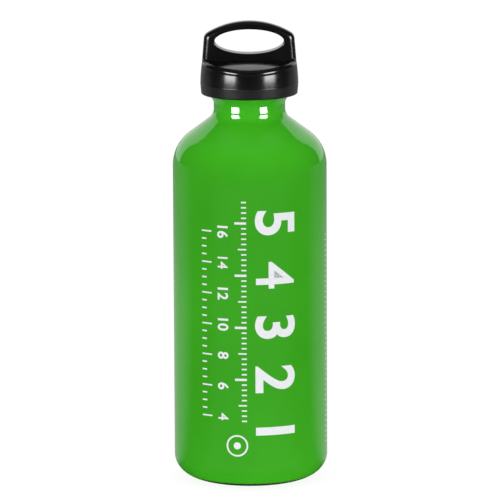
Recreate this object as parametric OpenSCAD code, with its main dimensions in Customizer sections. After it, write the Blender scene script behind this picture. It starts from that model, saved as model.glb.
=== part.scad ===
// Camping fuel bottle: a drawn aluminium bottle with a push-and-turn screw cap and a carry loop.
// Millimetres. The origin is the centre of the base, +Z is up and the loop lies along X.

/* [Bottle] */
// Outside diameter of the bottle
body_d = 73; // [70:0.5:78]
// Height at which the straight wall ends and the shoulder begins
straight_top = 150.8; // [110:1:220]
// Thickness of the side wall, shoulder and neck
wall = 0.8; // [0.6:0.1:1.1]
// Thickness of the base
base_t = 1.5; // [1:0.1:2.2]
// Width of the rounded edge between the base and the wall
base_edge_w = 13.6; // [9:0.1:15]
// Height of the rounded edge between the base and the wall
base_edge_h = 11.4; // [8:0.1:14]
// Width of the flat ring that the bottle stands on
foot_w = 2.4; // [1.5:0.1:4]
// Height of the hollow under the base
hollow_h = 4.2; // [2:0.1:6]
// Radius of the rounded shoulder
shoulder_r = 18.8; // [14:0.1:22]
// Angle that the rounded shoulder turns through before the straight cone
shoulder_a = 53.2; // [48:0.2:58]

/* [Neck] */
// Outside diameter of the neck
neck_d = 33.84; // [32.6:0.02:35]
// Radius of the hollow curve between the shoulder and the neck
neck_curve_r = 5.66; // [4:0.1:7]
// Length of the straight neck
neck_len = 2.75; // [2:0.05:8]
// Height over which the neck flares out to the collar
flare_h = 4.4; // [2.6:0.1:5]
// How far the rolled collar stands out from the neck
collar_out = 1.68; // [1.4:0.02:1.9]
// Height of the straight part of the collar
collar_h = 3.85; // [2.8:0.05:5]
// Thickness of the lip that is rolled in over the thread insert
lip_t = 0.6; // [0.4:0.1:0.8]
// How far the lip is rolled in over the thread insert
lip_in = 0.65; // [0.5:0.05:0.9]
// How far the seal face stands above the rolled lip
seal_face_rise = 0.1; // [0.05:0.05:0.3]

/* [Thread] */
// Rise of the thread in one turn
pitch = 2.8; // [2.6:0.05:3.2]
// Wall of the thread insert outside the thread's groove
insert_wall = 1.12; // [0.8:0.02:1.4]
// Height of the inside thread's ridge
insert_ridge = 1.5; // [1.3:0.05:1.6]
// Height of the plug's ridge
plug_ridge = 1.4; // [1.2:0.05:1.5]
// Radial gap between a ridge and the groove it runs in
thread_gap = 0.4; // [0.3:0.05:0.5]
// Width of both ridges at the foot
ridge_foot_w = 1.3; // [1.1:0.05:1.4]
// Width of both ridges at the crest
ridge_crest_w = 0.7; // [0.5:0.05:0.8]
// Turns of the inside thread
insert_turns = 2.4; // [1.5:0.1:2.5]
// Turns of the plug's thread
plug_turns = 2.6; // [1.5:0.1:2.7]
// How far the insert reaches below its flange
insert_skirt = 6.2; // [5.5:0.1:8]

/* [Plug] */
// Length of the plug below the seal face
plug_len = 11.4; // [11:0.1:13]
// Thickness of the plug's floor
plug_floor = 2; // [1.5:0.1:2.5]
// Wall of the plug round the cup that holds the spring
cup_wall = 2.6; // [1.8:0.1:3]
// How far the plug's flange reaches out over the collar
flange_over = 1.6; // [1.2:0.1:2]
// Thickness of the plug's flange
flange_t = 1.6; // [1.2:0.1:2.2]
// Length of the plain pilot that centres the seal and enters the insert
pilot_len = 0.8; // [0.5:0.1:1.2]
// Radial gap between the pilot and the insert
pilot_gap = 0.4; // [0.3:0.05:0.6]
// Thickness of the seal's round section before it is squeezed
seal_t = 2; // [1.8:0.05:2.2]
// Share of the seal's thickness that the plug squeezes out
seal_squeeze = 0.1; // [0.05:0.01:0.2]
// Number of drive teeth on the plug and on the cap
teeth = 12; // [8:4:12]
// Height of a drive tooth
tooth_h = 1.7; // [1.4:0.1:2]
// Width of a drive tooth
tooth_w = 2.7; // [2:0.1:3]
// Radial length of a drive tooth
tooth_len = 3.9; // [3:0.1:4.2]
// Gap between the tips of the two rings of teeth when the cap isn't pressed
tip_gap = 0.4; // [0.3:0.05:0.6]
// Gap that a pressed tooth keeps from the face opposite
tooth_end_gap = 0.3; // [0.2:0.05:0.5]

/* [Cap] */
// Height of the cap from its rim to the top of the loop
cap_h = 34.65; // [33:0.05:40]
// How far the rim hangs below the seal face
cap_drop = 4.5; // [4:0.1:4.8]
// Thickness of the cap's skirt where it is widest, at the moulding's parting line
skirt_t = 2.6; // [2.4:0.1:3.4]
// Height of the parting line above the rim
band_h = 5.1; // [4.6:0.1:5.4]
// Inward lean of the band below the parting line, per millimetre of height
band_draft = 0.078; // [0.04:0.002:0.1]
// Inward lean of the cap above the parting line, per millimetre of height
side_draft = 0.0748; // [0.04:0.002:0.09]
// Height of the crown of the cap's roof above the rim
crown_h = 16.35; // [15.8:0.05:17]
// Radius of the roof, which is curved from front to back only
roof_r = 95; // [70:1:120]
// Radius of the rounded edge between the roof and the side
roof_edge_r = 2.2; // [1.8:0.1:2.8]
// Size of the bevel round the rim
rim_bevel = 0.6; // [0.3:0.1:1]
// Radial gap between the plug's flange and the skirt
flange_gap = 0.4; // [0.3:0.05:0.6]
// Width of the sloping edge of the ceiling inside
ceiling_edge = 2.8; // [2.2:0.1:3]
// Drop of the sloping edge of the ceiling
ceiling_drop = 1.6; // [1.2:0.1:2]

/* [Loop] */
// Thickness of the carry loop from front to back
loop_t = 8; // [7:0.1:9]
// How far the sides of the loop's foot stand in from the widest part of the cap
loop_in = 0.95; // [0.8:0.05:2]
// Inward lean of the loop's sides, per millimetre of height
loop_draft = 0.082; // [0.04:0.002:0.1]
// Radius of the arc over the top of the loop
loop_arc_r = 38.5; // [36:0.5:44]
// Radius of the two upper corners of the loop
loop_corner_r = 3.7; // [3.4:0.1:5]
// Radius of the loop's long outer edges
loop_edge_r = 3; // [1:0.1:3.1]
// Width of the oval finger hole
hole_w = 33; // [30:0.5:35]
// Height of the oval finger hole
hole_h = 11.7; // [10:0.1:12.5]
// Height of the hole's centre above the rim
hole_up = 25.15; // [24.6:0.05:26]
// Radius of the finger hole's edges
hole_edge_r = 0.3; // [0.2:0.1:1]
// Height of the foot bar above the crown
bar_h = 0.75; // [0.5:0.05:1.4]
// How far the foot bar stands proud of the loop, front and back
bar_proud = 0.4; // [0.2:0.05:0.6]

/* [Lock] */
// Wire diameter of the spring
wire_d = 1.2; // [1:0.1:1.4]
// Radial gap between the spring and the cup
cup_gap = 1.2; // [0.6:0.1:1.6]
// Number of turns of the spring
spring_turns = 5; // [4:1:6]
// Rise of the first and of the last turn, which are wound close
end_rise = 1.7; // [1.6:0.05:2]
// Gap between each end of the spring and its seat
spring_gap = 0.05; // [0.02:0.01:0.2]
// Height of the boss that centres the spring under the ceiling
boss_h = 1.5; // [1:0.1:2]
// Radial gap between that boss and the spring
boss_gap = 0.4; // [0.3:0.05:0.6]
// Radial width of the retaining ring
ring_w = 2.2; // [2:0.1:2.3]
// Thickness of the retaining ring
ring_t = 1.4; // [1:0.1:1.6]
// How deep the retaining ring sits in the skirt's groove
ring_bite = 0.8; // [0.6:0.05:1]
// Opening angle of the split in the retaining ring
ring_split = 24; // [12:1:40]
// Gap round the retaining ring in its groove
groove_gap = 0.15; // [0.1:0.05:0.25]

/* [Hidden] */
$fn = 96;
fit_gap = 0.1;       // gap of parts that are pressed together for good
overlap = 0.4;       // how far a joined shape reaches into its neighbour
thread_steps = 36;   // straight steps in one turn of a thread
spring_steps = 20;   // straight steps in one turn of the spring
wire_sides = 6;
around = 72;         // steps round the cap's skin
oval_steps = 56;

body_r = body_d / 2;
neck_r = neck_d / 2;
collar_r = neck_r + collar_out;

// Heights, from the base up
shoulder_end_r = body_r - shoulder_r * (1 - cos(shoulder_a));
shoulder_end_z = straight_top + shoulder_r * sin(shoulder_a);
curve_start_r = neck_r + neck_curve_r * (1 - cos(shoulder_a));
cone_rise = (shoulder_end_r - curve_start_r) / tan(shoulder_a);
neck_z = shoulder_end_z + cone_rise + neck_curve_r * sin(shoulder_a);
flare_z = neck_z + neck_len;
collar_z = flare_z + flare_h;
lip_z = collar_z + collar_h;
seal_face_z = lip_z + lip_t + seal_face_rise;
flange_z = seal_face_z + seal_t * (1 - seal_squeeze);
flange_top = flange_z + flange_t;
ceiling_z = flange_top + 2 * tooth_h + tip_gap;
press = tip_gap + tooth_h - tooth_end_gap;
rim_z = seal_face_z - cap_drop;
parting_z = rim_z + band_h;
crown_z = rim_z + crown_h;
loop_top = rim_z + cap_h;
hole_z = rim_z + hole_up;
plug_z = seal_face_z - plug_len;
cup_z = plug_z + plug_floor;

// Radii inside the neck
shelf_z = collar_z - 0.4;
collar_in_r = collar_r - wall - fit_gap;
insert_out_r = neck_r - wall - fit_gap;
insert_flange_r = collar_in_r - fit_gap;
insert_face_r = collar_in_r - lip_in - fit_gap;
insert_root_r = insert_out_r - insert_wall;
insert_ridge_r = insert_root_r - insert_ridge;
core_r = insert_ridge_r - thread_gap;
plug_ridge_r = core_r + plug_ridge;
pilot_r = insert_root_r - pilot_gap;
cup_r = core_r - cup_wall;
spring_r = cup_r - cup_gap - wire_d / 2;

// Radii inside the cap
flange_r = collar_r + flange_over;
skirt_in_r = flange_r + flange_gap;
cap_r = skirt_in_r + skirt_t;
ceiling_r = skirt_in_r - ceiling_edge;
tooth_in_r = ceiling_r - overlap - tooth_len;
ring_out_r = skirt_in_r + ring_bite;
loop_foot_x = cap_r - loop_in;

// Points of an arc round [cx, cy], from angle a to angle b
function arc(cx, cy, rx, ry, a, b, steps) =
    [for (i = [0:steps]) let (t = a + (b - a) * i / steps) [cx + rx * cos(t), cy + ry * sin(t)]];

// Rises from 0 to 1 with a level start and end
function ease(t) = t * t * (3 - 2 * t);

// Radius of the ball that the hollow base is part of, and the angle of its edge
foot_out_r = body_r - base_edge_w;
foot_in_r = foot_out_r - foot_w;
ball_r = (foot_in_r * foot_in_r + hollow_h * hollow_h) / (2 * hollow_h);
ball_a = asin(foot_in_r / ball_r);

// Outline of the bottle from the middle of the base to the start of the flare, moved in by a wall
function bottle_outline(side, floor_t) = concat(
    arc(0, hollow_h - ball_r, ball_r + floor_t, ball_r + floor_t, 90, 90 - ball_a, 8),
    arc(body_r - base_edge_w, base_edge_h, base_edge_w - side, base_edge_h - floor_t, -90, 0, 14),
    arc(body_r - shoulder_r, straight_top, shoulder_r - side, shoulder_r - side, 0, shoulder_a, 10),
    arc(neck_r + neck_curve_r, neck_z, neck_curve_r + side, neck_curve_r + side, 180 + shoulder_a, 180, 8));

// Outside of the flare, from the neck out to the collar
flare = [for (i = [1:8]) [neck_r + (collar_r - neck_r) * ease(i / 8), flare_z + flare_h * i / 8]];

// A closed solid through rings of points, all with as many points, each ring a flat or wavy loop
module loft(rings) {
    n = len(rings[0]);
    last = len(rings) - 1;
    points = [for (ring = rings) each ring];
    bottom = [[for (i = [0:n - 1]) i]];
    top = [[for (i = [n - 1:-1:0]) last * n + i]];
    sides = [for (k = [0:last - 1], i = [0:n - 1]) let (j = (i + 1) % n, a = k * n, b = a + n)
        each [[a + i, b + i, b + j], [a + i, b + j, a + j]]];
    polyhedron(points = points, faces = concat(bottom, top, sides));
}

// A right-hand screw ridge that fades into the cylinder at both ends, standing outward or inward
module ridge(foot_r, crest_r, z, turns) {
    n = round(turns * thread_steps);
    fade = thread_steps / 6;
    out = crest_r > foot_r ? 1 : -1;
    loft([for (i = [0:n]) let (
        a = 360 * i / thread_steps,
        h = z + pitch * i / thread_steps,
        r = foot_r + (crest_r - foot_r) * max(min(1, i / fade, (n - i) / fade), 0.02))
        [for (p = [[foot_r, ridge_foot_w], [r, ridge_crest_w], [r, -ridge_crest_w], [foot_r, -ridge_foot_w]])
            [p[0] * cos(a), p[0] * sin(a), h + out * p[1] / 2]]]);
}

// One ring of drive teeth, with the first tooth at the angle turn
module drive_teeth(z, height, turn) {
    for (i = [0:teeth - 1])
        rotate([0, 0, turn + i * 360 / teeth])
        translate([tooth_in_r, -tooth_w / 2, z])
            cube([tooth_len, tooth_w, height]);
}

module bottle_shell() {
    color([0.16, 0.55, 0.12])
    rotate_extrude()
    polygon(concat(
        bottle_outline(0, 0),
        [[neck_r, flare_z]],
        flare,
        [[collar_r, lip_z + lip_t], [collar_in_r - lip_in, lip_z + lip_t], [collar_in_r - lip_in, lip_z]],
        [[collar_in_r, lip_z], [collar_in_r, shelf_z], [neck_r - wall, shelf_z]],
        [for (i = [len(inside) - 1:-1:0]) inside[i]]));
}
inside = bottle_outline(wall, base_t);

// The inside thread starts half a pitch above the plug's, so each ridge runs in the other's groove
plug_thread_z = plug_z + ridge_foot_w;
insert_thread_z = plug_thread_z + pitch / 2;

module neck_thread_insert() {
    color([0.72, 0.73, 0.75])
    union() {
        rotate_extrude()
        polygon([
            [insert_root_r, shelf_z - insert_skirt],
            [insert_out_r, shelf_z - insert_skirt],
            [insert_out_r, shelf_z],
            [insert_flange_r, shelf_z],
            [insert_flange_r, lip_z],
            [insert_face_r, lip_z],
            [insert_face_r, seal_face_z],
            [insert_root_r, seal_face_z]]);
        ridge(insert_root_r + overlap, insert_ridge_r, insert_thread_z, insert_turns);
    }
}

module seal_ring() {
    color([0.1, 0.1, 0.1])
    rotate_extrude()
    translate([pilot_r + fit_gap + seal_t / 2, (seal_face_z + flange_z) / 2])
    intersection() {
        circle(d = seal_t);
        square([2 * seal_t, flange_z - seal_face_z], center = true);
    }
}

module cap_plug() {
    color([0.22, 0.22, 0.23])
    union() {
        rotate_extrude()
        polygon([
            [0, plug_z],
            [core_r - rim_bevel, plug_z],
            [core_r, plug_z + rim_bevel],
            [core_r, seal_face_z - pilot_len],
            [pilot_r, seal_face_z - pilot_len],
            [pilot_r, flange_z],
            [flange_r, flange_z],
            [flange_r, flange_top],
            [cup_r, flange_top],
            [cup_r, cup_z],
            [0, cup_z]]);
        ridge(core_r - overlap, plug_ridge_r, plug_thread_z, plug_turns);
        drive_teeth(flange_top - overlap, tooth_h + overlap, 0);
    }
}

// The spring's height at a number of turns: the end turns are close, the others share the rest
spring_low = cup_z + spring_gap + wire_d / 2;
spring_high = ceiling_z - spring_gap - wire_d / 2;
middle_rise = (spring_high - spring_low - 2 * end_rise) / (spring_turns - 2);
function spring_z(t) = spring_low + end_rise * min(t, 1)
    + middle_rise * max(0, min(t, spring_turns - 1) - 1)
    + end_rise * max(0, t - (spring_turns - 1));

module lock_spring() {
    color([0.7, 0.71, 0.73])
    loft([for (i = [0:spring_turns * spring_steps]) let (a = 360 * i / spring_steps)
        [for (k = [0:wire_sides - 1]) let (
            b = 360 * k / wire_sides,
            r = spring_r + wire_d / 2 * cos(b))
            [r * cos(a), r * sin(a), spring_z(i / spring_steps) - wire_d / 2 * sin(b)]]]);
}

module retaining_ring() {
    color([0.6, 0.61, 0.63])
    difference() {
        translate([0, 0, flange_z - ring_t])
        difference() {
            cylinder(r = ring_out_r, h = ring_t);
            translate([0, 0, -1]) cylinder(r = ring_out_r - ring_w, h = ring_t + 2);
        }
        rotate([0, 0, 90 - ring_split / 2])
        translate([0, 0, flange_z - 2 * ring_t])
        linear_extrude(height = 3 * ring_t)
            polygon([[0, 0], [2 * ring_out_r, 0],
                     [2 * ring_out_r * cos(ring_split), 2 * ring_out_r * sin(ring_split)]]);
    }
}

// Radius of the cap's side at a height, widest at the parting line
function side_r(z) = cap_r - (z < parting_z ? (parting_z - z) * band_draft : (z - parting_z) * side_draft);

// Height of the roof at a radius and an angle: an arch curved from front to back only
function roof_z(r, a) = crown_z - pow(r * sin(a), 2) / (2 * roof_r);

// The cap's outline in the upright plane at angle a, from the rim up to the roof near the middle
function cap_outline(a) = let (
    r0 = side_r(roof_z(cap_r, a) - roof_edge_r) - roof_edge_r,
    lean = atan(r0 * pow(sin(a), 2) / roof_r),
    edge_r = r0 + roof_edge_r * sin(lean),
    edge_z = roof_z(edge_r, a),
    edge = arc(r0, edge_z - roof_edge_r * cos(lean), roof_edge_r, roof_edge_r, atan(side_draft), 90 - lean, 6))
    concat(
        [[side_r(rim_z) - rim_bevel, rim_z], [side_r(rim_z + rim_bevel), rim_z + rim_bevel]],
        [[cap_r, parting_z]],
        edge,
        [for (f = [0.75, 0.5, 0.25, 0.05]) [edge_r * f, roof_z(edge_r * f, a)]]);

// The cap's outer skin: that outline at every angle
module cap_skin() {
    outlines = [for (i = [0:around - 1]) cap_outline(360 * i / around)];
    loft([for (k = [0:len(outlines[0]) - 1])
        [for (i = [0:around - 1]) let (a = 360 * i / around, p = outlines[i][k])
            [p[0] * cos(a), p[0] * sin(a), p[1]]]]);
}

// Outline of the loop, moved in by an inset: straight leaning sides, two corners and an arch
arch_z = loop_top - loop_arc_r;
corner_mid_r = loop_arc_r - loop_corner_r;
side_a = atan(loop_draft);
function loop_side(z) = loop_foot_x - (z - crown_z) * loop_draft;
corner_x = loop_side(arch_z + sqrt(pow(corner_mid_r, 2) - pow(loop_foot_x - loop_corner_r - 0.6, 2))) - loop_corner_r;
corner_z = arch_z + sqrt(pow(corner_mid_r, 2) - pow(corner_x, 2));
corner_a = atan2(corner_z - arch_z, corner_x);
loop_foot_z = crown_z - 2.2;
function loop_half(inset) = concat(
    arc(corner_x, corner_z, loop_corner_r - inset, loop_corner_r - inset, side_a, corner_a, 6),
    arc(0, arch_z, loop_arc_r - inset, loop_arc_r - inset, corner_a, 90, 9));
function loop_outline(inset) = let (half = loop_half(inset), n = len(half)) concat(
    [[loop_side(loop_foot_z) - inset, loop_foot_z]],
    [for (i = [0:n - 2]) if (i != 6) half[i]],
    [[0, loop_top - inset]],
    [for (i = [n - 2:-1:0]) if (i != 6) [-half[i][0], half[i][1]]],
    [[-loop_side(loop_foot_z) + inset, loop_foot_z]]);

// Steps of a rounded edge as [inset, distance from the face], from the face inward
function edge_steps(r, steps) =
    [for (i = [0:steps]) let (t = 90 * i / steps) [r * (1 - sin(t)), r * (1 - cos(t))]];

module loop_plate() {
    front = edge_steps(loop_edge_r, 4);
    stations = concat(
        [for (s = front) [-loop_t / 2 + s[1], s[0]]],
        [for (i = [len(front) - 1:-1:0]) [loop_t / 2 - front[i][1], front[i][0]]]);
    loft([for (s = stations) [for (p = loop_outline(s[1])) [p[0], -s[0], p[1]]]]);
}

// The finger hole as a solid to cut away, wider at both faces to round its edges
module finger_hole() {
    step = edge_steps(hole_edge_r, 3);
    stations = concat(
        [[-loop_t, hole_edge_r]],
        [for (s = step) [-loop_t / 2 + s[1], s[0]]],
        [for (i = [len(step) - 1:-1:0]) [loop_t / 2 - step[i][1], step[i][0]]],
        [[loop_t, hole_edge_r]]);
    loft([for (s = stations) [for (i = [0:oval_steps - 1]) let (a = 360 * i / oval_steps)
        [(hole_w / 2 + s[1]) * cos(a), -s[0], hole_z + (hole_h / 2 + s[1]) * sin(a)]]]);
}

module foot_bar() {
    half = sqrt(pow(side_r(crown_z + bar_h), 2) - pow(loop_t / 2 + bar_proud, 2)) - 0.1;
    translate([-half, -loop_t / 2 - bar_proud, loop_foot_z])
        cube([2 * half, loop_t + 2 * bar_proud, crown_z + bar_h - loop_foot_z]);
}

// Everything inside the cap's skin: skirt, ring groove and ceiling
module cap_cavity() {
    groove_r = ring_out_r + groove_gap;
    rotate_extrude()
    polygon([
        [0, rim_z - 1],
        [skirt_in_r, rim_z - 1],
        [skirt_in_r, flange_z - ring_t - groove_gap],
        [groove_r, flange_z - ring_t - groove_gap],
        [groove_r, flange_z + groove_gap],
        [skirt_in_r, flange_z + groove_gap],
        [skirt_in_r, ceiling_z - ceiling_drop],
        [ceiling_r, ceiling_z],
        [0, ceiling_z]]);
}

module cap_shell() {
    color([0.07, 0.07, 0.075])
    union() {
        difference() {
            union() {
                cap_skin();
                loop_plate();
                foot_bar();
            }
            finger_hole();
            cap_cavity();
        }
        drive_teeth(ceiling_z - tooth_h, tooth_h + overlap, 180 / teeth);
        translate([0, 0, ceiling_z - boss_h])
            cylinder(r = spring_r - wire_d / 2 - boss_gap, h = boss_h + overlap);
    }
}

bottle_shell();
neck_thread_insert();
seal_ring();
cap_plug();
lock_spring();
retaining_ring();
cap_shell();
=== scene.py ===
"""The looks of a camping fuel bottle: enamelled aluminium body, white level print and a black screw cap."""

import math

import bmesh
import bpy
import numpy as np
from mathutils import Matrix, Vector

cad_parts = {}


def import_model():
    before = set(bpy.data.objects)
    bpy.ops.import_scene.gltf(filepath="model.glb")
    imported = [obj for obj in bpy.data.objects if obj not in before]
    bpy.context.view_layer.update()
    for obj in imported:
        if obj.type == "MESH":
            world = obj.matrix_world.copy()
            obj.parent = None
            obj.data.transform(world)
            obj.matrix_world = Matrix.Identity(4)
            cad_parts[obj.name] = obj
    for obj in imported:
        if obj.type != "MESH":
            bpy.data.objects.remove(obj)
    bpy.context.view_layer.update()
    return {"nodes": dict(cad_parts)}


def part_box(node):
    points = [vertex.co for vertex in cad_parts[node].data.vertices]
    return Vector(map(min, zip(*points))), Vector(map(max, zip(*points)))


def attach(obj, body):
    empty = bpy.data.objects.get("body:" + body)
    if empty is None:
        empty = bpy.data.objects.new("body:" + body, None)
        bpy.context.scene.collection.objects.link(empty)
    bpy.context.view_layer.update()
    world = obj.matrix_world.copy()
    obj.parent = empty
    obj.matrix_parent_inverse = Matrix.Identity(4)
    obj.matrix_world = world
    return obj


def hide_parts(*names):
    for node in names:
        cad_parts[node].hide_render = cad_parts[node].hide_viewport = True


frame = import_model()

MM = 0.001

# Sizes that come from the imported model
shell_low, shell_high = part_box("bottle_shell")
cap_low, cap_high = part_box("cap_shell")
insert_low, insert_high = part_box("neck_thread_insert")
plug_low, plug_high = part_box("cap_plug")
ring_low, ring_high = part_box("retaining_ring")
BODY_R = shell_high.x
RIM_Z = cap_low.z
CAP_R = cap_high.x
LOOP_TOP = cap_high.z
SEAL_FACE_Z = insert_high.z
LIP_TOP_Z = shell_high.z


# Shapes: curves of [radius, height] or [x, z] points, as arrays

def arc(cx, cz, rx, rz, start, end, steps):
    """Points of an ellipse's arc about (cx, cz), from one angle to another in degrees."""
    t = np.radians(np.linspace(start, end, steps + 1))
    return np.column_stack([cx + rx * np.cos(t), cz + rz * np.sin(t)])


def rounded(corners, radii, steps=4):
    """An open outline whose inner corners are replaced by arcs: each arc touches both its sides at
    radius / tan(half the corner's angle) from the corner. A radius of 0 keeps the corner."""
    corners = np.asarray(corners, float)
    out = [corners[:1]]
    for before, here, after, radius in zip(corners[:-2], corners[1:-1], corners[2:], radii):
        if radius <= 0:
            out.append(here[None])
            continue
        a = (before - here) / np.linalg.norm(before - here)
        b = (after - here) / np.linalg.norm(after - here)
        half = math.acos(np.clip(a @ b, -1, 1)) / 2
        reach = radius / math.tan(half)
        middle = here + (a + b) / np.linalg.norm(a + b) * radius / math.sin(half)
        first, last = here + a * reach - middle, here + b * reach - middle
        t = np.linspace(0, 1, steps + 1)[:, None]
        turn = math.acos(np.clip(first @ last / radius ** 2, -1, 1))
        blend = (np.sin((1 - t) * turn) * first + np.sin(t * turn) * last) / math.sin(turn)
        out.append(middle + blend)
    out.append(corners[-1:])
    return np.vstack(out)


def refined(points, longest):
    """The same outline with its long straights cut into steps no longer than the given length."""
    points = np.asarray(points, float)
    out = [points[:1]]
    for a, b in zip(points[:-1], points[1:]):
        n = max(1, int(math.ceil(np.linalg.norm(b - a) / longest)))
        out.append(a + (b - a) * np.linspace(0, 1, n + 1)[1:, None])
    return np.vstack(out)


# Meshes: a grid of points becomes faces, with no loop over its vertices

def mesh_object(name, points, faces, smooth=True):
    """An object with its place in its mesh, at the origin."""
    mesh = bpy.data.meshes.new(name)
    mesh.from_pydata(np.asarray(points, float).tolist(), [], faces)
    mesh.polygons.foreach_set("use_smooth", np.full(len(mesh.polygons), smooth))
    mesh.update()
    obj = bpy.data.objects.new(name, mesh)
    bpy.context.scene.collection.objects.link(obj)
    return obj


def outward(obj):
    """Merges doubles and makes every face of a closed mesh point outwards."""
    made = bmesh.new()
    made.from_mesh(obj.data)
    bmesh.ops.remove_doubles(made, verts=made.verts, dist=1e-7)
    bmesh.ops.recalc_face_normals(made, faces=made.faces)
    made.to_mesh(obj.data)
    made.free()
    return obj


def grid_faces(rows, columns, wrap_rows, wrap_columns):
    """Quads between neighbouring points of a grid that is stored row by row."""
    r = np.arange(rows if wrap_rows else rows - 1)[:, None]
    c = np.arange(columns if wrap_columns else columns - 1)[None, :]
    r1, c1 = (r + 1) % rows, (c + 1) % columns
    quads = np.stack([r * columns + c, r * columns + c1, r1 * columns + c1, r1 * columns + c], axis=-1)
    return quads.reshape(-1, 4).tolist()


def surface(name, grid, wrap_rows=False, wrap_columns=True):
    """A surface through a grid of points, shape (rows, columns, 3); rows that shrink to a point close."""
    rows, columns = grid.shape[:2]
    faces = grid_faces(rows, columns, wrap_rows, wrap_columns)
    return outward(mesh_object(name, grid.reshape(-1, 3), faces))


def revolved(name, outline, steps=192, wrap=False):
    """The outline of [radius, height] turned about the Z axis: x = r cos a, y = r sin a."""
    a = np.linspace(0, 2 * np.pi, steps, endpoint=False)
    r, z = outline[:, 0][:, None], outline[:, 1][:, None]
    grid = np.stack([r * np.cos(a), r * np.sin(a), z + 0 * a], axis=-1)
    return surface(name, grid, wrap_rows=wrap)


def joined(name, objects):
    """One object made of several, whose shells stay separate."""
    points, faces, smooth, start = [], [], [], 0
    for obj in objects:
        mesh = obj.data
        co = np.zeros(len(mesh.vertices) * 3)
        mesh.vertices.foreach_get("co", co)
        points.append(co.reshape(-1, 3))
        faces += [[start + v for v in p.vertices] for p in mesh.polygons]
        smooth += [p.use_smooth for p in mesh.polygons]
        start += len(mesh.vertices)
        bpy.data.objects.remove(obj)
    result = mesh_object(name, np.vstack(points), faces)
    result.data.polygons.foreach_set("use_smooth", smooth)
    return result


# Materials

class Shader:
    """A new material with its Principled shader, and short ways to add nodes to it."""

    def __init__(self, name, **values):
        self.material = bpy.data.materials.new(name)
        self.material.use_nodes = True
        self.nodes, self.links = self.material.node_tree.nodes, self.material.node_tree.links
        self.main = self.nodes["Principled BSDF"]
        self.coords = self.nodes.new("ShaderNodeTexCoord").outputs["Object"]
        for socket, value in values.items():
            self.main.inputs[socket.replace("_", " ")].default_value = value

    def node(self, kind, values=None, **settings):
        made = self.nodes.new(kind)
        for key, value in settings.items():
            setattr(made, key, value)
        for socket, value in (values or {}).items():
            if isinstance(value, bpy.types.NodeSocket):
                self.links.new(value, made.inputs[socket])
            else:
                made.inputs[socket].default_value = value
        return made

    def noise(self, scale, detail=2.0, roughness=0.5, stretch=(1, 1, 1)):
        """Noise in the object's own metres: scale is in waves per metre."""
        placed = self.node("ShaderNodeMapping", {"Vector": self.coords, "Scale": stretch})
        values = {"Vector": placed.outputs[0], "Scale": scale, "Detail": detail, "Roughness": roughness}
        return self.node("ShaderNodeTexNoise", values).outputs["Fac"]

    def spread(self, value, low, high, to_low=0.0, to_high=1.0):
        """Maps a number from one range to another, and keeps it inside."""
        values = {"Value": value, "From Min": low, "From Max": high, "To Min": to_low, "To Max": to_high}
        return self.node("ShaderNodeMapRange", values).outputs[0]

    def mixed(self, share, first, second):
        values = {"Factor": share, "A": first, "B": second}
        made = self.nodes.new("ShaderNodeMix")
        made.data_type = "RGBA"
        for socket, value in zip((made.inputs[0], made.inputs[6], made.inputs[7]), values.values()):
            if isinstance(value, bpy.types.NodeSocket):
                self.links.new(value, socket)
            else:
                socket.default_value = value
        return made.outputs[2]

    def math(self, operation, a, b=0.0):
        return self.node("ShaderNodeMath", {0: a, 1: b}, operation=operation).outputs[0]

    def bump(self, *layers):
        """Adds up bumps, each a (height socket, depth in metres) pair."""
        normal = None
        for height, depth in layers:
            made = self.node("ShaderNodeBump", {"Height": height, "Distance": depth, "Strength": 1.0})
            if normal is not None:
                self.links.new(normal, made.inputs["Normal"])
            normal = made.outputs[0]
        self.links.new(normal, self.main.inputs["Normal"])

    def link(self, value, socket):
        self.links.new(value, self.main.inputs[socket])


def green_enamel():
    """Glossy baked enamel: a faint orange peel, slightly uneven colour, rubbed through where it stands."""
    s = Shader("green_enamel", Roughness=0.09, IOR=1.5)
    cloud = s.noise(22, 3)
    fleck = s.noise(1400, 2)
    green = s.mixed(s.spread(cloud, 0.35, 0.65), (0.036, 0.352, 0.0085, 1), (0.043, 0.384, 0.0108, 1))
    green = s.mixed(s.spread(fleck, 0.62, 0.8, 0, 0.12), green, (0.09, 0.45, 0.03, 1))
    place = s.node("ShaderNodeSeparateXYZ", {0: s.coords})
    low = s.spread(place.outputs[2], 0.00004, 0.00016, 1, 0)
    patchy = s.spread(s.noise(500, 4, 0.7), 0.5, 0.58)
    worn = s.math("MULTIPLY", low, patchy)
    s.link(s.mixed(worn, green, (0.62, 0.63, 0.64, 1)), "Base Color")
    s.link(worn, "Metallic")
    scuff = s.spread(s.noise(90, 5, 0.65), 0.45, 0.75, 0.07, 0.095)
    s.link(s.spread(worn, 0, 1, scuff, 0.32), "Roughness")
    s.bump((s.noise(260, 2), 0.000012), (s.noise(900, 1), 0.0000015))
    return s.material


def bare_aluminium():
    """Spun aluminium: fine rings round the axis and a little dulling."""
    s = Shader("bare_aluminium", Metallic=1.0, Roughness=0.3)
    rings = s.noise(60, 2, 0.5, stretch=(1, 1, 90))
    s.link(s.mixed(s.spread(rings, 0.3, 0.7), (0.66, 0.67, 0.68, 1), (0.76, 0.77, 0.78, 1)), "Base Color")
    s.link(s.spread(s.noise(40, 4), 0.3, 0.7, 0.24, 0.38), "Roughness")
    s.bump((rings, 0.00001))
    return s.material


def white_ink():
    """Screen-printed ink: a thin, slightly matt film with pinholes at its finest scale."""
    s = Shader("white_ink", Roughness=0.34, IOR=1.48)
    s.link(s.mixed(s.spread(s.noise(700, 3), 0.35, 0.7), (0.79, 0.82, 0.83, 1), (0.85, 0.87, 0.88, 1)), "Base Color")
    s.link(s.spread(s.noise(300, 3), 0.3, 0.7, 0.28, 0.42), "Roughness")
    s.bump((s.noise(1800, 2), 0.000004))
    return s.material


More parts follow.
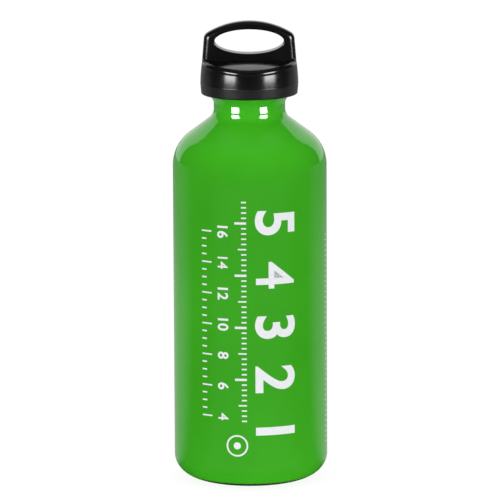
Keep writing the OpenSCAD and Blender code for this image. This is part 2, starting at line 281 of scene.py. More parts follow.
def black_plastic():
    """Moulded black plastic: semi-gloss, duller low on the side and matt below the parting line."""
    s = Shader("black_cap_plastic", IOR=1.5)
    flow = s.noise(55, 4, 0.6, stretch=(1, 1, 3))
    s.link(s.mixed(flow, (0.0014, 0.0013, 0.0013, 1), (0.0028, 0.0026, 0.0026, 1)), "Base Color")
    place = s.node("ShaderNodeSeparateXYZ", {0: s.coords})
    matt = s.spread(place.outputs[2], PARTING_Z - 0.05 * MM, PARTING_Z + 0.05 * MM, 0.14, 0)
    worn = s.spread(place.outputs[2], PARTING_Z, PARTING_Z + 7 * MM, 0.03, 0)
    smooth = s.spread(s.noise(160, 4), 0.3, 0.7, 0.15, 0.2)
    s.link(s.math("ADD", s.math("ADD", smooth, matt), worn), "Roughness")
    s.bump((s.noise(3200, 2), 0.0000035), (s.noise(320, 2), 0.000006))
    return s.material


def plug_plastic():
    """Dark grey engineering plastic, duller than the cap."""
    s = Shader("plug_plastic", IOR=1.5)
    s.link(s.mixed(s.noise(80, 4), (0.028, 0.028, 0.03, 1), (0.04, 0.04, 0.043, 1)), "Base Color")
    s.link(s.spread(s.noise(240, 4), 0.3, 0.7, 0.36, 0.48), "Roughness")
    s.bump((s.noise(2600, 2), 0.000005))
    return s.material


def seal_rubber():
    """Matt black rubber with a little bloom."""
    s = Shader("seal_rubber", IOR=1.52)
    bloom = s.spread(s.noise(900, 4, 0.6), 0.5, 0.8)
    s.link(s.mixed(bloom, (0.012, 0.012, 0.012, 1), (0.035, 0.035, 0.035, 1)), "Base Color")
    s.link(s.spread(bloom, 0, 1, 0.55, 0.72), "Roughness")
    s.bump((s.noise(4000, 2), 0.000006))
    return s.material


def spring_steel():
    """Bright drawn steel wire."""
    s = Shader("spring_steel", Metallic=1.0)
    s.link(s.mixed(s.noise(700, 3), (0.5, 0.51, 0.53, 1), (0.64, 0.65, 0.67, 1)), "Base Color")
    s.link(s.spread(s.noise(1200, 3), 0.3, 0.7, 0.2, 0.34), "Roughness")
    s.bump((s.noise(3000, 2), 0.000003))
    return s.material


# The bottle

BASE_EDGE_W, BASE_EDGE_H = 13.6 * MM, 11.4 * MM
FOOT_W, HOLLOW_H, BASE_T, WALL = 2.4 * MM, 4.2 * MM, 1.5 * MM, 0.8 * MM
STRAIGHT_TOP, SHOULDER_R, SHOULDER_A = 150.8 * MM, 18.8 * MM, 53.2
NECK_R, NECK_CURVE_R, NECK_LEN = 16.92 * MM, 5.66 * MM, 2.75 * MM
FLARE_H, COLLAR_R, LIP_T, LIP_IN = 4.4 * MM, 18.6 * MM, 0.6 * MM, 0.65 * MM


def bottle_side(side, floor_t):
    """The bottle's outline from the middle of the base to the start of the flare, moved in by a wall:
    a hollow, a foot ring, a rounded edge, a straight wall, a shoulder, a cone and a hollow curve."""
    foot_in = BODY_R - BASE_EDGE_W - FOOT_W
    ball = (foot_in ** 2 + HOLLOW_H ** 2) / (2 * HOLLOW_H)
    ball_a = math.degrees(math.asin(foot_in / ball))
    shoulder_end_r = BODY_R - SHOULDER_R * (1 - math.cos(math.radians(SHOULDER_A)))
    curve_start_r = NECK_R + NECK_CURVE_R * (1 - math.cos(math.radians(SHOULDER_A)))
    cone_rise = (shoulder_end_r - curve_start_r) / math.tan(math.radians(SHOULDER_A))
    sine = math.sin(math.radians(SHOULDER_A))
    neck_z = STRAIGHT_TOP + SHOULDER_R * sine + cone_rise + NECK_CURVE_R * sine
    hollow = arc(0, HOLLOW_H - ball, ball + floor_t, ball + floor_t, 90, 90 - ball_a, 14)
    edge = arc(BODY_R - BASE_EDGE_W, BASE_EDGE_H, BASE_EDGE_W - side, BASE_EDGE_H - floor_t, -90, 0, 26)
    shoulder = arc(BODY_R - SHOULDER_R, STRAIGHT_TOP, SHOULDER_R - side, SHOULDER_R - side, 0, SHOULDER_A, 22)
    curve = arc(NECK_R + NECK_CURVE_R, neck_z, NECK_CURVE_R + side, NECK_CURVE_R + side,
                180 + SHOULDER_A, 180, 16)
    return np.vstack([hollow, edge, shoulder, curve]), neck_z


def bottle():
    """The shell: its outer outline, the flared and rolled collar, and its inner outline, turned about Z."""
    outer, neck_z = bottle_side(0, 0)
    inner, _ = bottle_side(WALL, BASE_T)
    flare_z = neck_z + NECK_LEN
    t = np.linspace(0, 1, 13)
    ease = t * t * (3 - 2 * t)
    flare = np.column_stack([NECK_R + (COLLAR_R - NECK_R) * ease, flare_z + FLARE_H * t])
    collar_in = COLLAR_R - WALL - 0.1 * MM
    shelf_z = flare_z + FLARE_H - 0.4 * MM
    lip = rounded(
        [flare[-1], [COLLAR_R, LIP_TOP_Z], [collar_in - LIP_IN, LIP_TOP_Z],
         [collar_in - LIP_IN, LIP_TOP_Z - LIP_T], [collar_in, LIP_TOP_Z - LIP_T],
         [collar_in, shelf_z], [NECK_R - WALL, shelf_z], inner[-1]],
        [0.5 * MM, 0.15 * MM, 0.15 * MM, 0.05 * MM, 0.1 * MM, 0.2 * MM])
    outline = np.vstack([outer, flare, lip[1:-1], inner[::-1]])
    outline = refined(outline, 6 * MM)
    shell = revolved("bottle_body", outline, 224)
    shell.data.materials.append(green_enamel())
    shell.data.materials.append(bare_aluminium())
    centres = np.zeros(len(shell.data.polygons) * 3)
    normals = np.zeros(len(shell.data.polygons) * 3)
    shell.data.polygons.foreach_get("center", centres)
    shell.data.polygons.foreach_get("normal", normals)
    centres, normals = centres.reshape(-1, 3), normals.reshape(-1, 3)
    r = np.hypot(centres[:, 0], centres[:, 1])
    on_wall = np.interp(centres[:, 2], inner[:, 1][26:], inner[:, 0][26:])
    inside = (r < on_wall + 0.35 * MM) & (centres[:, 2] > BASE_T * 0.6)
    hollow_side = (centres[:, 2] < HOLLOW_H + BASE_T) & (r < BODY_R - BASE_EDGE_W) & (normals[:, 2] < 0)
    bare = (inside & ~hollow_side) | (centres[:, 2] > LIP_TOP_Z - 0.25 * MM)
    shell.data.polygons.foreach_set("material_index", bare.astype(np.int32))
    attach(shell, "bottle")
    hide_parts("bottle_shell")
    return shell


# The print: a level scale in plain numbers and ticks, wrapped round the body

PRINT_T = 0.05 * MM
LEVEL_1, LEVEL_STEP = 28.9 * MM, 24.97 * MM


def number_mesh(text, size, weight):
    """The outline of a number as a flat mesh, with x along the reading direction and y up."""
    curve = bpy.data.curves.new("number", "FONT")
    curve.body, curve.size, curve.offset = text, size, weight
    curve.align_x, curve.align_y = "CENTER", "CENTER"
    curve.resolution_u = 10
    obj = bpy.data.objects.new("number", curve)
    bpy.context.scene.collection.objects.link(obj)
    mesh = bpy.data.meshes.new_from_object(obj.evaluated_get(bpy.context.evaluated_depsgraph_get()))
    bpy.data.objects.remove(obj)
    return mesh


def flat_bars(bars):
    """Rectangles given as (arc from, arc to, height from, height to)."""
    b = np.asarray(bars, float)
    corners = np.stack([b[:, [0, 2]], b[:, [1, 2]], b[:, [1, 3]], b[:, [0, 3]]], axis=1)
    faces = np.arange(len(b) * 4).reshape(-1, 4).tolist()
    return corners.reshape(-1, 2), faces


def flat_ring(s, z, outer, inner, steps=72):
    """A ring, or a disc with an inner radius of 0, about a point of the flattened wall."""
    a = np.linspace(0, 2 * np.pi, steps, endpoint=False)
    circle = np.column_stack([np.cos(a), np.sin(a)])
    if inner == 0:
        return circle * outer + (s, z), [list(range(steps))]
    points = np.vstack([circle * inner, circle * outer]) + (s, z)
    return points, grid_faces(2, steps, False, True)


def printed(name, flats):
    """Ink on the wall. Flat points (arc length s, height z) are cut into narrow strips, then wrapped:
    x = R sin(s / R), y = -R cos(s / R). A Solidify modifier gives the film its thickness."""
    made = bmesh.new()
    for points, faces in flats:
        verts = [made.verts.new((s, z, 0)) for s, z in points]
        for face in faces:
            made.faces.new([verts[i] for i in face])
    made.verts.ensure_lookup_table()
    low = min(v.co.x for v in made.verts)
    high = max(v.co.x for v in made.verts)
    strips = np.arange(math.ceil(low / MM), math.ceil(high / MM)) * MM
    for s in strips:
        geometry = made.verts[:] + made.edges[:] + made.faces[:]
        bmesh.ops.bisect_plane(made, geom=geometry, plane_co=(s + 1e-6, 0, 0), plane_no=(1, 0, 0), dist=1e-7)
    bmesh.ops.triangulate(made, faces=made.faces)
    mesh = bpy.data.meshes.new(name)
    made.to_mesh(mesh)
    made.free()
    co = np.zeros(len(mesh.vertices) * 3)
    mesh.vertices.foreach_get("co", co)
    s, z = co[0::3].copy(), co[1::3].copy()
    r = BODY_R + 0.004 * MM
    mesh.vertices.foreach_set("co", np.column_stack([r * np.sin(s / r), -r * np.cos(s / r), z]).ravel())
    faces_out(mesh)
    obj = bpy.data.objects.new(name, mesh)
    bpy.context.scene.collection.objects.link(obj)
    film = obj.modifiers.new("film", "SOLIDIFY")
    film.thickness, film.offset = PRINT_T, 1.0
    obj.data.materials.append(white_ink_material)
    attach(obj, "bottle")
    return obj


def faces_out(mesh):
    """Turns round each face whose normal points to the bottle's axis."""
    mesh.update()
    n = len(mesh.polygons)
    normals, centres = np.zeros(n * 3), np.zeros(n * 3)
    mesh.polygons.foreach_get("normal", normals)
    mesh.polygons.foreach_get("center", centres)
    normals, centres = normals.reshape(-1, 3), centres.reshape(-1, 3)
    wrong = np.nonzero((normals[:, :2] * centres[:, :2]).sum(1) < 0)[0]
    made = bmesh.new()
    made.from_mesh(mesh)
    made.faces.ensure_lookup_table()
    bmesh.ops.reverse_faces(made, faces=[made.faces[int(i)] for i in wrong])
    made.to_mesh(mesh)
    made.free()


def turned_number(text, size, weight, s, z):
    """A number that reads downwards: its reading direction is -Z and its top points to +s."""
    mesh = number_mesh(text, size, weight)
    co = np.zeros(len(mesh.vertices) * 3)
    mesh.vertices.foreach_get("co", co)
    co = co.reshape(-1, 3)[:, :2]
    middle = (co.min(0) + co.max(0)) / 2
    co = co - middle
    return np.column_stack([s + co[:, 1], z - co[:, 0]]), [list(p.vertices) for p in mesh.polygons]


def level_print():
    """Big numbers 1 to 5 beside a fine scale, a second scale with small numbers, a ring and edge ticks."""
    big = [turned_number(str(n), 27.0 * MM, (0.2 if n == 4 else 0.6) * MM, 12.2 * MM, LEVEL_1 + (n - 1) * LEVEL_STEP)
           for n in range(1, 6)]
    printed("print_level_numbers", big)
    fine = []
    for k in range(-4, 45):
        length = 5.6 * MM if k % 10 == 0 else 4.0 * MM if k % 5 == 0 else 2.4 * MM
        half = 0.55 * MM if k % 10 == 0 else 0.35 * MM
        z = LEVEL_1 + k * LEVEL_STEP / 10
        fine.append((-1.8 * MM - length, -1.8 * MM, z - half, z + half))
    fine = [bar for bar in fine if bar[2] > 33 * MM]
    printed("print_fine_scale", [flat_bars(fine)])
    ounce = 14.77 * MM
    first = 21.0 * MM
    small = [turned_number(str(2 * n), 7.2 * MM, (0.06 if "4" in str(2 * n) else 0.16) * MM, -13.2 * MM, first + (n - 1) * ounce)
             for n in range(2, 9)]
    printed("print_small_numbers", small)
    ticks = []
    for k in range(4, 33):
        length = 5.4 * MM if k % 4 == 0 else 2.6 * MM
        z = first + (k / 4 - 1) * ounce
        ticks.append((-24.4 * MM, -24.4 * MM + length, z - 0.35 * MM, z + 0.35 * MM))
    ticks = [bar for bar in ticks if bar[2] > 33 * MM]
    printed("print_second_scale", [flat_bars(ticks)])
    ring = [flat_ring(-6.5 * MM, 22.0 * MM, 5.2 * MM, 4.4 * MM), flat_ring(-6.5 * MM, 22.0 * MM, 1.7 * MM, 0)]
    printed("print_ring", ring)
    edge = [(48.6 * MM, 50.2 * MM, z * MM, (z + 0.4) * MM) for z in np.arange(18.0, 120.0, 2.5)]
    printed("print_edge_ticks", [flat_bars(edge)])


# The cap

BAND_H, BAND_DRAFT, SIDE_DRAFT = 5.1 * MM, 0.078, 0.0748
SIDE_SWELL, SWELL_H = 0.14 * MM, 9 * MM
CROWN_H, ROOF_R, ROOF_EDGE_R, RIM_BEVEL = 16.35 * MM, 95 * MM, 2.2 * MM, 0.6 * MM
SKIRT_IN_R, GROOVE_R, GROOVE_GAP = 20.6 * MM, 21.55 * MM, 0.15 * MM
CEILING_R, CEILING_DROP = 17.8 * MM, 1.6 * MM
LOOP_T, LOOP_IN, LOOP_DRAFT, LOOP_ARC_R = 8 * MM, 0.95 * MM, 0.082, 38.5 * MM
LOOP_CORNER_R, LOOP_EDGE_R, HOLE_EDGE_R, HOLE_RIDGE = 3.7 * MM, 3.0 * MM, 0.3 * MM, 0.15 * MM
HOLE_A, HOLE_B, HOLE_UP = 16.5 * MM, 5.85 * MM, 25.15 * MM
BAR_H, BAR_PROUD = 0.75 * MM, 0.4 * MM
TEETH, TOOTH_W, TOOTH_H, TOOTH_IN_R, TOOTH_LEN = 12, 2.7 * MM, 1.7 * MM, 13.5 * MM, 3.9 * MM

PARTING_Z = RIM_Z + BAND_H
CROWN_Z = RIM_Z + CROWN_H
FLANGE_TOP = plug_high.z - TOOTH_H
CEILING_Z = FLANGE_TOP + 2 * TOOTH_H + 0.4 * MM


def side_r(z):
    """Radius of the cap's side at a height, widest at the parting line. Above it the drafted side also
    swells a little: by 4 t (1 - t) of the swell, where t goes from 0 at the line to 1 at the roof."""
    t = np.clip((z - PARTING_Z) / SWELL_H, 0, 1)
    above = CAP_R - (z - PARTING_Z) * SIDE_DRAFT + 4 * t * (1 - t) * SIDE_SWELL
    return np.where(z < PARTING_Z, CAP_R - (PARTING_Z - z) * BAND_DRAFT, above)


def roof_z(r, a):
    """Height of the roof: an arch curved from front to back only, z = crown - y squared / 2R."""
    return CROWN_Z - (r * np.sin(a)) ** 2 / (2 * ROOF_R)


def cap_body():
    """Rim, band, side, rounded edge and roof at every angle, then back inside along the cavity."""
    a = np.linspace(0, 2 * np.pi, 256, endpoint=False)
    corner = roof_z(CAP_R, a) - ROOF_EDGE_R
    r0 = side_r(corner) - ROOF_EDGE_R
    lean = np.arctan(r0 * np.sin(a) ** 2 / ROOF_R)
    edge_r = r0 + ROOF_EDGE_R * np.sin(lean)
    edge_z = roof_z(edge_r, a) - ROOF_EDGE_R * np.cos(lean)
    rows = []
    rim = arc(0, 0, RIM_BEVEL, RIM_BEVEL, -90, 0, 6)
    for dr, dz in rim:
        z = RIM_Z + RIM_BEVEL + dz + 0 * a
        rows.append((side_r(z) - RIM_BEVEL + dr, z))
    line = [(-0.16, 0), (-0.03, 0), (0, 0.035), (0.03, 0), (0.16, 0)]
    for z in np.linspace(RIM_Z + RIM_BEVEL * 1.4, PARTING_Z - 0.4 * MM, 6):
        rows.append((side_r(z + 0 * a), z + 0 * a))
    for dz, dr in line:
        z = PARTING_Z + dz * MM + 0 * a
        rows.append((side_r(z) + dr * MM, z))
    start = math.atan(SIDE_DRAFT)
    for t in np.linspace(0.05, 0.98, 8):
        low = PARTING_Z + 0.4 * MM
        z = low + (edge_z + ROOF_EDGE_R * math.sin(start) - low) * t
        rows.append((side_r(z), z))
    for t in np.linspace(0, 1, 13):
        turn = start + (np.pi / 2 - lean - start) * t
        rows.append((r0 + ROOF_EDGE_R * np.cos(turn), edge_z + ROOF_EDGE_R * np.sin(turn)))
    for t in np.linspace(0.97, 0, 22):
        rows.append((edge_r * t, roof_z(edge_r * t, a)))
    ring_z = ring_high.z
    cavity = rounded(
        [[0, CEILING_Z], [CEILING_R, CEILING_Z], [SKIRT_IN_R, CEILING_Z - CEILING_DROP],
         [SKIRT_IN_R, ring_z + GROOVE_GAP], [GROOVE_R, ring_z + GROOVE_GAP],
         [GROOVE_R, ring_low.z - GROOVE_GAP], [SKIRT_IN_R, ring_low.z - GROOVE_GAP],
         [SKIRT_IN_R, RIM_Z], [side_r(RIM_Z) - RIM_BEVEL, RIM_Z]],
        [0.4 * MM, 0.4 * MM, 0.1 * MM, 0.1 * MM, 0.1 * MM, 0.1 * MM, 0.3 * MM])
    cavity = refined(cavity, 2.5 * MM)[:-1]
    rows += [(r + 0 * a, z + 0 * a) for r, z in cavity]
    grid = np.array([[r * np.cos(a), r * np.sin(a), z] for r, z in rows]).transpose(0, 2, 1)
    return surface("cap_body", grid, wrap_rows=True)


def loop_outline(inset, steps=(10, 26, 90, 40)):
    """The loop's outline moved in by an inset: side, corner, arch, corner, side and foot, evenly numbered."""
    side_steps, corner_steps, arch_steps, foot_steps = steps
    foot_z = CROWN_Z - 2.2 * MM
    foot_x = CAP_R - LOOP_IN
    arch_z = LOOP_TOP - LOOP_ARC_R
    middle = LOOP_ARC_R - LOOP_CORNER_R
    top_guess = arch_z + math.sqrt(middle ** 2 - (foot_x - LOOP_CORNER_R - 0.6 * MM) ** 2)
    corner_x = foot_x - (top_guess - CROWN_Z) * LOOP_DRAFT - LOOP_CORNER_R
    corner_z = arch_z + math.sqrt(middle ** 2 - corner_x ** 2)
    corner_a = math.degrees(math.atan2(corner_z - arch_z, corner_x))
    side_a = math.degrees(math.atan(LOOP_DRAFT))
    r = LOOP_CORNER_R - inset
    corner = arc(corner_x, corner_z, r, r, side_a, corner_a, corner_steps)
    low = np.array([foot_x - (foot_z - CROWN_Z) * LOOP_DRAFT - inset, foot_z])
    side = low + (corner[0] - low) * np.linspace(0, 1, side_steps + 1)[:-1, None]
    arch = arc(0, arch_z, LOOP_ARC_R - inset, LOOP_ARC_R - inset, corner_a, 90, arch_steps // 2)[1:]
    right = np.vstack([side, corner, arch])
    left = right[-2::-1] * (-1, 1)
    foot = np.column_stack([np.linspace(-low[0], low[0], foot_steps + 1)[1:-1], np.full(foot_steps - 1, foot_z)])
    return np.vstack([right, left, foot])


def loop():
    """The carry loop: a rounded section between its outline and the oval hole, carried round the hole.
    Each outline point meets the hole's point at the same polar angle, and both edges are quarter circles."""
    hole_z = RIM_Z + HOLE_UP
    outline = loop_outline(0)
    angle = np.arctan2((outline[:, 1] - hole_z) / HOLE_B, outline[:, 0] / HOLE_A)

    def hole(outset):
        return np.column_stack([(HOLE_A + outset) * np.cos(angle), hole_z + (HOLE_B + outset) * np.sin(angle)])

    t = np.linspace(0, np.pi / 2, 9)
    half = LOOP_T / 2
    rows = []
    for k in t:
        rows.append((loop_outline(LOOP_EDGE_R * (1 - np.sin(k))), -half + LOOP_EDGE_R * (1 - np.cos(k))))
    front = rows
    back = [(p, -y) for p, y in front[::-1]]
    inner = [(hole(HOLE_EDGE_R * (1 - np.sin(k))), half - HOLE_EDGE_R * (1 - np.cos(k))) for k in t[::2]]
    inner += [(hole(-HOLE_RIDGE * (1 - y / half)), y) for y in np.array([0.8, 0.5, 0.25, 0.06]) * half]
    inner += [(hole(-HOLE_RIDGE), 0.0)] + [(p, -y) for p, y in inner[::-1]]
    face = [(back[-1][0] * (1 - s) + inner[0][0] * s, half) for s in (0.04, 0.15, 0.4, 0.7, 0.93)]
    face_front = [(p, -y) for p, y in face[::-1]]
    rows = front + back + face + inner + face_front
    grid = np.array([np.column_stack([p[:, 0], np.full(len(p), y), p[:, 1]]) for p, y in rows])
    return surface("loop", grid, wrap_rows=True)


def bar_across(name, half_x, half_y, low, high, edge):
    """A bar with rounded long edges, closed at both ends: a rounded rectangle carried along X."""
    t = np.radians(np.linspace(0, 90, 5))
    quarter = np.column_stack([np.cos(t), np.sin(t)]) * edge
    centre = np.array([half_y - edge, (high - low) / 2 - edge])
    first = quarter + centre
    second = first[::-1] * (-1, 1)
    section = np.vstack([first, second, -first, -second])
    xs = np.array([-half_x, -half_x, -half_x + 0.3 * edge, -half_x + edge])
    scale = np.array([0, 0.96, 0.99, 1.0])
    xs, scale = np.r_[xs, -xs[::-1]], np.r_[scale, scale[::-1]]
    y = section[:, 0][None] * scale[:, None]
    z = (low + high) / 2 + section[:, 1][None] * scale[:, None]
    grid = np.stack([np.repeat(xs[:, None], len(section), 1), y, z], axis=-1)
    return surface(name, grid)


def tooth_ring(name, low, high, turn):
    """Drive teeth: bevelled boxes set round the axis."""
    made = bmesh.new()
    for k in range(TEETH):
        a = math.radians(turn + k * 360 / TEETH)
        box = bmesh.ops.create_cube(made, size=1)["verts"]
        for v in box:
            r = TOOTH_IN_R + (v.co.x + 0.5) * TOOTH_LEN
            side = v.co.y * TOOTH_W
            z = low + (v.co.z + 0.5) * (high - low)
            v.co = Vector((r * math.cos(a) - side * math.sin(a), r * math.sin(a) + side * math.cos(a), z))
    bmesh.ops.bevel(made, geom=made.edges[:], offset=0.12 * MM, segments=2, affect="EDGES", profile=0.5)
    mesh = bpy.data.meshes.new(name)
    made.to_mesh(mesh)
    made.free()
    obj = bpy.data.objects.new(name, mesh)
    bpy.context.scene.collection.objects.link(obj)
    return obj


def cap():
    """The black cap: body, loop, foot bar, the mould's gate mark, drive teeth and the spring's boss."""
    bar_half = math.sqrt(float(side_r(CROWN_Z + BAR_H)) ** 2 - (LOOP_T / 2 + BAR_PROUD) ** 2) - 0.1 * MM
    bar = bar_across("bar", bar_half, LOOP_T / 2 + BAR_PROUD, CROWN_Z - 2.2 * MM, CROWN_Z + BAR_H, 0.3 * MM)
    gate = revolved("gate", rounded(
        [[0, LOOP_TOP - 0.6 * MM], [1.1 * MM, LOOP_TOP - 0.6 * MM], [0.8 * MM, LOOP_TOP - 0.02 * MM],
         [0, LOOP_TOP - 0.02 * MM]], [0, 0.1 * MM]), 32)
    boss = revolved("boss", rounded(
        [[0, CEILING_Z + 0.4 * MM], [7.6 * MM, CEILING_Z + 0.4 * MM], [7.6 * MM, CEILING_Z - 1.5 * MM],
         [0, CEILING_Z - 1.5 * MM]], [0, 0.3 * MM]), 96)
    teeth = tooth_ring("teeth", CEILING_Z - TOOTH_H, CEILING_Z + 0.4 * MM, 180 / TEETH)
    shell = joined("cap_and_loop", [cap_body(), loop(), bar, gate, boss, teeth])
    shell.data.materials.append(black_plastic())
    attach(shell, "cap")
    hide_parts("cap_shell")
    return shell


def finish_cad_nodes():
    """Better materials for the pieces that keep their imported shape."""
    finishes = {
        "neck_thread_insert": bare_aluminium(), "seal_ring": seal_rubber(), "cap_plug": plug_plastic(),
        "lock_spring": spring_steel(), "retaining_ring": spring_steel()}
    for name, material in finishes.items():
        obj = frame["nodes"][name]
        obj.data.materials.clear()
        obj.data.materials.append(material)


# The studio

def node_of(tree, kind, values=None, **settings):
    """A node in a world's or a floor's tree, with its sockets set or linked."""
    made = tree.nodes.new(kind)
    for key, value in settings.items():
        setattr(made, key, value)
    for socket, value in (values or {}).items():
        if isinstance(value, bpy.types.NodeSocket):
            tree.links.new(value, made.inputs[socket])
        else:
            made.inputs[socket].default_value = value
    return made


def calc(tree, operation, a, b=0.0):
    return node_of(tree, "ShaderNodeMath", {0: a, 1: b}, operation=operation).outputs[0]


def step(tree, value, low, high, top=1.0):
    """Rises smoothly from 0 to top while the value goes from low to high."""
    values = {"Value": value, "From Min": low, "From Max": high, "To Min": 0.0, "To Max": top}
    return node_of(tree, "ShaderNodeMapRange", values, interpolation_type="SMOOTHSTEP").outputs[0]


def mirrored(tree):
    """1 for rays that left a glossy or a clear surface, and the socket for camera rays."""
    path = node_of(tree, "ShaderNodeLightPath").outputs
    return calc(tree, "MAXIMUM", path["Is Glossy Ray"], path["Is Transmission Ray"]), path["Is Camera Ray"]


def by_ray(tree, plain, reflected, seen, output):
    """One shader for diffuse light, one for reflections and one for the camera."""
    glossy, camera_ray = mirrored(tree)
    first = node_of(tree, "ShaderNodeMixShader", {0: glossy, 1: plain.outputs[0], 2: reflected.outputs[0]})
    second = node_of(tree, "ShaderNodeMixShader", {0: camera_ray, 1: first.outputs[0], 2: seen.outputs[0]})
    tree.links.new(second.outputs[0], output.inputs[0])


SKY = 0.9
BACK_WHITE, FRONT_GREY, TOP_GREY, DARK = 1.0, 0.07, 0.2, 0.04
NEAR_FLOOR, FAR_FLOOR, BACK_FLOOR, SIDE_FLOOR = 0.22, 0.03, 0.55, 0.08
# Within the painted shadow's radius the floor is dark in reflections: a painted shadow of the bottle
NEAR_R, PAINTED_SHADOW_R = 0.93, 0.065
# Painted light: how strongly the floor glows round the bottle and under its edge, for diffuse light alone
PAINTED_FLOOR_GLOW, BASE_GLOW = 0.31, 0.5


def world():
    """White for the camera and an even sky for diffuse light. Reflections show a white backdrop with
    sharp edges behind, a grey room in front, a lighter ceiling and dark sides."""
    made = bpy.data.worlds.new("studio")
    bpy.context.scene.world = made
    made.use_nodes = True
    tree = made.node_tree
    tree.nodes.clear()
    coords = node_of(tree, "ShaderNodeTexCoord").outputs["Generated"]
    unit = node_of(tree, "ShaderNodeVectorMath", {0: coords}, operation="NORMALIZE").outputs[0]
    x, y, z = node_of(tree, "ShaderNodeSeparateXYZ", {0: unit}).outputs
    wide = calc(tree, "ABSOLUTE", x)
    sideways = step(tree, calc(tree, "SUBTRACT", calc(tree, "MULTIPLY", y, 1.2), wide), 0.0, 0.06)
    upwards = step(tree, calc(tree, "SUBTRACT", calc(tree, "MULTIPLY", y, 1.15), z), 0.0, 0.06)
    back = calc(tree, "MULTIPLY", calc(tree, "MULTIPLY", sideways, upwards), BACK_WHITE)
    ahead = calc(tree, "SUBTRACT", calc(tree, "MULTIPLY", y, -1.43), wide)
    room = calc(tree, "MAXIMUM", step(tree, ahead, -0.25, 0.25, FRONT_GREY), DARK)
    around = calc(tree, "MAXIMUM", room, step(tree, z, 0.75, 0.95, TOP_GREY))
    level = calc(tree, "MAXIMUM", back, around)
    plain = node_of(tree, "ShaderNodeBackground", {"Strength": SKY})
    reflected = node_of(tree, "ShaderNodeBackground", {"Strength": level})
    white = node_of(tree, "ShaderNodeBackground", {"Strength": 1.0})
    for background in (plain, reflected, white):
        background.inputs["Color"].default_value = (1, 1, 1, 1)
    by_ray(tree, plain, reflected, white, node_of(tree, "ShaderNodeOutputWorld"))


def floor():
    """A plain pale floor: white for the camera apart from the object's shadow. Reflections show it
    with a painted shadow under the bottle's edge, grey in front, darker further out and at the sides, light behind.
    Round the bottle it also glows for diffuse light alone: painted light on the bottle's base."""
    half = 6.0
    corners = [(-half, -half, 0), (half, -half, 0), (half, half, 0), (-half, half, 0)]
    obj = mesh_object("floor", corners, [[0, 1, 2, 3]], smooth=False)
    material = bpy.data.materials.new("floor")
    material.use_nodes = True
    tree = material.node_tree
    tree.nodes.clear()
    coords = node_of(tree, "ShaderNodeTexCoord").outputs["Object"]
    distance = node_of(tree, "ShaderNodeVectorMath", {0: coords}, operation="LENGTH").outputs["Value"]
    unit = node_of(tree, "ShaderNodeVectorMath", {0: coords}, operation="NORMALIZE").outputs[0]
    y = node_of(tree, "ShaderNodeSeparateXYZ", {0: unit}).outputs[1]
    near = step(tree, distance, NEAR_R * 1.1, NEAR_R * 0.9, NEAR_FLOOR - FAR_FLOOR)
    front = calc(tree, "MULTIPLY", step(tree, y, -0.3, -0.7), calc(tree, "ADD", near, FAR_FLOOR))
    fading = calc(tree, "ADD", step(tree, distance, 0.9, 0.35, 0.45), 0.55)
    back = calc(tree, "MULTIPLY", step(tree, y, -0.1, 0.45, BACK_FLOOR), fading)
    far = calc(tree, "MAXIMUM", calc(tree, "MAXIMUM", front, back), SIDE_FLOOR)
    # Near the bottle the reflected floor is made dark: a painted shadow of the bottle round its foot
    level = calc(tree, "MULTIPLY", far, step(tree, distance, PAINTED_SHADOW_R * 0.45, PAINTED_SHADOW_R * 0.9))
    white_paper = node_of(tree, "ShaderNodeBsdfDiffuse", {"Color": (0.8, 0.8, 0.8, 1)})
    # The floor glows round the bottle and under its edge for diffuse light alone: painted light that brightens the
    # bottle's base from below
    under = calc(tree, "ADD", step(tree, distance, 0.17, 0.07, PAINTED_FLOOR_GLOW), step(tree, distance, 0.05, 0.03, BASE_GLOW))
    painted_glow = node_of(tree, "ShaderNodeEmission", {"Strength": under})
    paper = node_of(tree, "ShaderNodeAddShader", {0: white_paper.outputs[0], 1: painted_glow.outputs[0]})
    reflected = node_of(tree, "ShaderNodeEmission", {"Strength": level})
    glow = node_of(tree, "ShaderNodeEmission", {"Strength": 0.9})
    faint = node_of(tree, "ShaderNodeBsdfDiffuse", {"Color": (0.14, 0.14, 0.14, 1)})
    seen = node_of(tree, "ShaderNodeAddShader", {0: glow.outputs[0], 1: faint.outputs[0]})
    by_ray(tree, paper, reflected, seen, node_of(tree, "ShaderNodeOutputMaterial"))
    obj.data.materials.append(material)


def lamp(name, azimuth, elevation, distance, width, height, power, aim=(0, 0, 0.14), spread=180):
    """A soft lamp at an angle from the camera's side, aimed at a point of the bottle."""
    light = bpy.data.lights.new(name, "AREA")
    light.shape, light.size, light.size_y, light.energy = "RECTANGLE", width, height, power
    light.spread = math.radians(spread)
    obj = bpy.data.objects.new(name, light)
    bpy.context.scene.collection.objects.link(obj)
    a, e = math.radians(azimuth), math.radians(elevation)
    way = Vector((math.sin(a) * math.cos(e), -math.cos(a) * math.cos(e), math.sin(e)))
    obj.location = Vector(aim) + way * distance
    obj.rotation_euler = (-way).to_track_quat("-Z", "Y").to_euler()
    obj.visible_camera = False
    return obj


def shine(name, piece, lamps):
    """Makes lamps show only as reflections, and only on one piece."""
    only = bpy.data.collections.new(name)
    only.objects.link(piece)
    for obj in lamps:
        obj.visible_diffuse = False
        obj.light_linking.receiver_collection = only


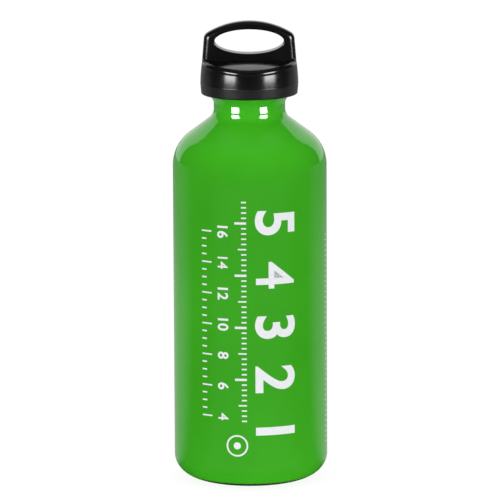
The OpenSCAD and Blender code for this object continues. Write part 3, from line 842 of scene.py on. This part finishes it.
# The two small lamps on each side of the neck: where they shine, in mm, and how far away they stand
GLINT_X, GLINT_Y, GLINT_HIGH_Z, GLINT_LOW_Z, GLINT_FAR = 6.7 * MM, 15.5 * MM, 176.2 * MM, 177.9 * MM, 30 * MM


def lights(bottle_shell, cap_shell):
    """Soft lamps for diffuse light, and lamps that only show as shine on the cap or on the neck."""
    soft = [lamp("soft_lamp", side * 44, 18, 1.3, 0.6, 0.9, 1.58) for side in (-1, 1)]
    soft.append(lamp("fill_lamp", 0, 4, 1.5, 0.6, 0.6, 1.58))
    soft.append(lamp("neck_fill", 0, -4, 0.5, 0.07, 0.022, 0.0024, (0, 0, 175 * MM), 5))
    for obj in soft:
        obj.visible_glossy = False
    shine("cap_shine", cap_shell,
          [lamp("cap_strip", azimuth, 12.5, 1.3, 0.62, 0.7, 24.0, (0, 0, 0.2)) for azimuth in (-46, 49)])
    glints = []
    for side in (-1, 1):
        high, low = [(side * GLINT_X, -GLINT_Y, z) for z in (GLINT_HIGH_Z, GLINT_LOW_Z)]
        glints.append(lamp("neck_high", side * 47, 21, GLINT_FAR, 17.5 * MM, 17 * MM, 0.0028, high, 52))
        glints.append(lamp("neck_low", side * 47, -10.5, GLINT_FAR, 17.5 * MM, 3 * MM, 0.0005, low, 50))
    shine("neck_shine", bottle_shell, glints)


def camera():
    """The photograph's long lens, a little above the bottle and looking down at it."""
    made = bpy.data.cameras.new("camera")
    made.lens, made.sensor_width = 426.0, 36.0
    made.shift_x = -0.0002
    made.clip_end = 30
    obj = bpy.data.objects.new("camera", made)
    bpy.context.scene.collection.objects.link(obj)
    pitch, roll, distance, aim_z = math.radians(10.52), math.radians(0.26), 2.814, 0.10938
    obj.location = (0, -distance * math.cos(pitch), aim_z + distance * math.sin(pitch))
    turn = Matrix.Rotation(math.pi / 2 - pitch, 3, "X") @ Matrix.Rotation(-roll, 3, "Z")
    obj.rotation_euler = turn.to_euler()
    bpy.context.scene.camera = obj


bpy.context.scene.view_settings.view_transform = "Standard"
camera()
world()
floor()

white_ink_material = white_ink()
bottle_piece = bottle()
level_print()
lights(bottle_piece, cap())
finish_cad_nodes()
